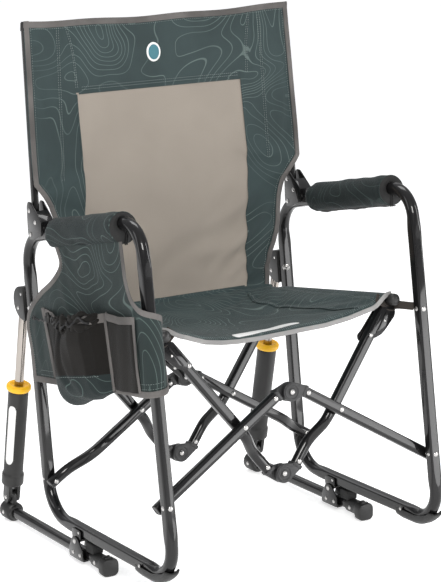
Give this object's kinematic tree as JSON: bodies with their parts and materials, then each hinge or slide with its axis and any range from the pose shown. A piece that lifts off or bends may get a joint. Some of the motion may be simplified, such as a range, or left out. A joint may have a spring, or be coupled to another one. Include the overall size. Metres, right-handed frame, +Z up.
{
  "type": "camp rocking chair",
  "caption": "Folding camp rocking chair: steel side loops rocking on sprung ground rails, double scissors, sling seat and back, armrest pads, side pocket panel with cup holder.",
  "frame": {"origin": "on the floor, under the middle of the whole object's box", "axes": "+Z up, the sitter faces -Y, +X is the sitter's left"},
  "size_m": [0.6854, 0.6701, 1.0073],
  "materials": {
    "black_steel": "gloss black powder coat",
    "black_plastic": "satin black moulding",
    "hub_plastic": "dark grey moulding",
    "strut_plastic": "charcoal satin sleeve",
    "ring_plastic": "orange yellow moulding",
    "chrome": "polished rod",
    "rivet": "bright zinc",
    "slate_fabric": "dark slate green polyester with fine contour lines",
    "taupe_mesh": "open taupe mesh",
    "pocket_mesh": "dark grey mesh",
    "binding": "grey woven tape",
    "webbing": "taupe webbing",
    "cord": "black elastic cord",
    "foam": "black closed-cell foam",
    "thread": "sewing thread",
    "label": "plain printed label"
  },
  "bodies": {
    "right_ground_rail": {"right_ground_rail": "black_steel", "right_rail_front_cap": "black_plastic", "right_rail_rear_cap": "black_plastic", "right_rail_bracket": "black_steel", "right_rock_pin": "rivet", "right_rock_stop": "black_plastic"},
    "right_side_frame": {"right_side_loop": "black_steel", "right_frame_pivot_bracket": "black_steel", "right_front_foot": "black_plastic", "right_armrest_pad": "slate_fabric", "right_arm_bracket": "black_steel", "right_back_pole": "black_steel", "right_strut_mount": "black_plastic", "side_panel": "slate_fabric", "cup_holder": "pocket_mesh", "phone_pocket": "pocket_mesh", "back_fabric": "slate_fabric"},
    "right_strut_barrel": {"right_strut_barrel": "strut_plastic", "right_strut_ring": "ring_plastic"},
    "right_strut_rod": {"right_strut_rod": "chrome"},
    "right_front_leg_bar": {"right_front_leg_bar": "black_steel", "right_front_upper_hub": "hub_plastic"},
    "right_rear_leg_bar": {"right_rear_leg_bar": "black_steel", "right_rear_upper_hub": "hub_plastic"},
    "right_seat_frame": {"right_seat_rail": "black_steel", "right_front_seat_bar": "black_steel", "right_front_lower_hub": "hub_plastic", "right_front_seat_hanger": "black_steel", "right_rear_seat_bar": "black_steel", "right_rear_lower_hub": "hub_plastic", "right_rear_seat_hanger": "black_steel"},
    "left_ground_rail": {"left_ground_rail": "black_steel", "left_rail_front_cap": "black_plastic", "left_rail_rear_cap": "black_plastic", "left_rail_bracket": "black_steel", "left_rock_pin": "rivet", "left_rock_stop": "black_plastic"},
    "left_side_frame": {"left_side_loop": "black_steel", "left_frame_pivot_bracket": "black_steel", "left_front_foot": "black_plastic", "left_armrest_pad": "slate_fabric", "left_arm_bracket": "black_steel", "left_back_pole": "black_steel", "left_strut_mount": "black_plastic"},
    "left_strut_barrel": {"left_strut_barrel": "strut_plastic", "left_strut_ring": "ring_plastic"},
    "left_strut_rod": {"left_strut_rod": "chrome"},
    "left_front_leg_bar": {"left_front_leg_bar": "black_steel", "left_front_upper_hub": "hub_plastic"},
    "left_rear_leg_bar": {"left_rear_leg_bar": "black_steel", "left_rear_upper_hub": "hub_plastic"},
    "left_seat_frame": {"left_seat_rail": "black_steel", "left_front_seat_bar": "black_steel", "left_front_lower_hub": "hub_plastic", "left_front_seat_hanger": "black_steel", "left_rear_seat_bar": "black_steel", "left_rear_lower_hub": "hub_plastic", "left_rear_seat_hanger": "black_steel"},
    "seat_sling": {"seat_fabric": "slate_fabric"}
  },
  "joints": [
    {"name": "rock", "type": "hinge", "parent": "right_ground_rail", "child": "right_side_frame", "pos_m": [-0.2663, 0.0131, 0.043], "axis": [-1, 0, 0], "range_deg": [0, 16], "stiffness_Nm_per_rad": 150, "springref_deg": -20.05},
    {"name": "fold", "type": "hinge", "parent": "right_side_frame", "child": "right_front_leg_bar", "pos_m": [-0.2663, -0.28856, 0.18882], "axis": [0, -0.9903, 0.1392], "range_deg": [0, 48], "deforming": ["seat_fabric", "back_fabric"]},
    {"name": "right_seat_crossing", "type": "hinge", "parent": "right_front_leg_bar", "child": "right_seat_frame", "pos_m": [-0.0813, -0.26095, 0.29905], "axis": [0, -0.9903, 0.1392], "range_deg": [-84, 1]},
    {"name": "seat_level", "type": "hinge", "parent": "right_seat_frame", "child": "seat_sling", "pos_m": [-0.2253, -0.04394, 0.45638], "axis": [0, -0.9903, 0.1392], "range_deg": [-1, 33]},
    {"name": "front_upper_hub", "type": "hinge", "parent": "right_front_leg_bar", "child": "left_front_leg_bar", "pos_m": [0.0237, -0.26601, 0.34924], "axis": [0, -0.9903, 0.1392], "range_deg": [-103, 1]},
    {"name": "left_seat_crossing", "type": "hinge", "parent": "left_front_leg_bar", "child": "left_seat_frame", "pos_m": [0.1287, -0.26095, 0.29905], "axis": [0, -0.9903, 0.1392], "range_deg": [-1, 84]},
    {"name": "left_front_leg_pivot", "type": "hinge", "parent": "left_front_leg_bar", "child": "left_side_frame", "pos_m": [0.3137, -0.28856, 0.18882], "axis": [0, -0.9903, 0.1392], "range_deg": [-1, 52]},
    {"name": "left_rock", "type": "hinge", "parent": "left_side_frame", "child": "left_ground_rail", "pos_m": [0.3137, 0.0131, 0.043], "axis": [-1, 0, 0], "range_deg": [-17, 1]},
    {"name": "right_rear_leg_pivot", "type": "hinge", "parent": "right_side_frame", "child": "right_rear_leg_bar", "pos_m": [-0.2663, 0.1224, 0.13106], "axis": [0, -0.9903, 0.1392], "range_deg": [-1, 52]},
    {"name": "left_rear_leg_pivot", "type": "hinge", "parent": "left_side_frame", "child": "left_rear_leg_bar", "pos_m": [0.3137, 0.1224, 0.13106], "axis": [0, -0.9903, 0.1392], "range_deg": [-52, 1]},
    {"name": "right_strut_foot", "type": "hinge", "parent": "right_ground_rail", "child": "right_strut_barrel", "pos_m": [-0.2663, 0.3151, 0.05], "axis": [-1, 0, 0], "range_deg": [-1, 16.2]},
    {"name": "right_strut_slide", "type": "slide", "parent": "right_strut_barrel", "child": "right_strut_rod", "axis": [0, -0.2182, 0.9759], "range_m": [-0.0859, 0.002]},
    {"name": "left_strut_foot", "type": "hinge", "parent": "left_ground_rail", "child": "left_strut_barrel", "pos_m": [0.3137, 0.3151, 0.05], "axis": [-1, 0, 0], "range_deg": [-1, 16.2]},
    {"name": "left_strut_slide", "type": "slide", "parent": "left_strut_barrel", "child": "left_strut_rod", "axis": [0, -0.2182, 0.9759], "range_m": [-0.0859, 0.002]}
  ],
  "couplings": [
    {"joint": "right_seat_crossing", "follows": "fold", "ratio": -1.637},
    {"joint": "seat_level", "follows": "fold", "ratio": 0.637},
    {"joint": "front_upper_hub", "follows": "fold", "ratio": -2},
    {"joint": "left_seat_crossing", "follows": "fold", "ratio": 1.637},
    {"joint": "left_front_leg_pivot", "follows": "fold", "ratio": 1},
    {"joint": "left_rock", "follows": "rock", "ratio": -1},
    {"joint": "right_rear_leg_pivot", "follows": "fold", "ratio": 1},
    {"joint": "left_rear_leg_pivot", "follows": "fold", "ratio": -1},
    {"joint": "right_strut_foot", "follows": "rock", "ratio": 0.9469},
    {"joint": "right_strut_slide", "follows": "rock", "m_per_rad": -0.3005},
    {"joint": "left_strut_foot", "follows": "rock", "ratio": 0.9469},
    {"joint": "left_strut_slide", "follows": "rock", "m_per_rad": -0.3005}
  ]
}
